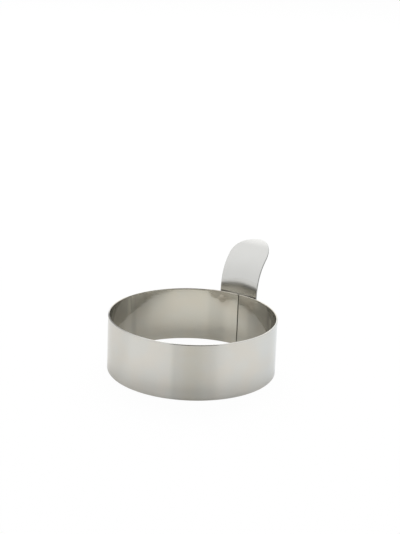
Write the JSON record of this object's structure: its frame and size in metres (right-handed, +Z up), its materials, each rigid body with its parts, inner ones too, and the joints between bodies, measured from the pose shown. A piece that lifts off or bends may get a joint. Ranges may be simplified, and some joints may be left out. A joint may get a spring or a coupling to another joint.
{
  "type": "egg ring",
  "caption": "Open round stainless steel ring rolled from strip, with a butted seam and a bent leaf handle spot-welded outside over it, for frying eggs to a round shape.",
  "frame": {"origin": "on the surface that the ring stands on, under the middle of the whole part's box, which is between the ring's axis and the handle's tip", "axes": "+Z up along the ring's axis, +Y from the ring's axis through the seam to the handle's tip, +X to the right when the handle points away from the viewer"},
  "size_m": [0.09, 0.1098, 0.0574],
  "materials": {
    "brushed_band": "stainless sheet, finely brushed along the strip, so round the ring",
    "polished_handle": "stainless sheet, polished nearly to a mirror",
    "weld_metal": "dull melted stainless"
  },
  "bodies": {
    "root": {"ring_band": "brushed_band", "handle": "polished_handle", "weld_top_left": "weld_metal", "weld_top_right": "weld_metal", "weld_bottom_left": "weld_metal", "weld_bottom_right": "weld_metal"}
  },
  "joints": []
}
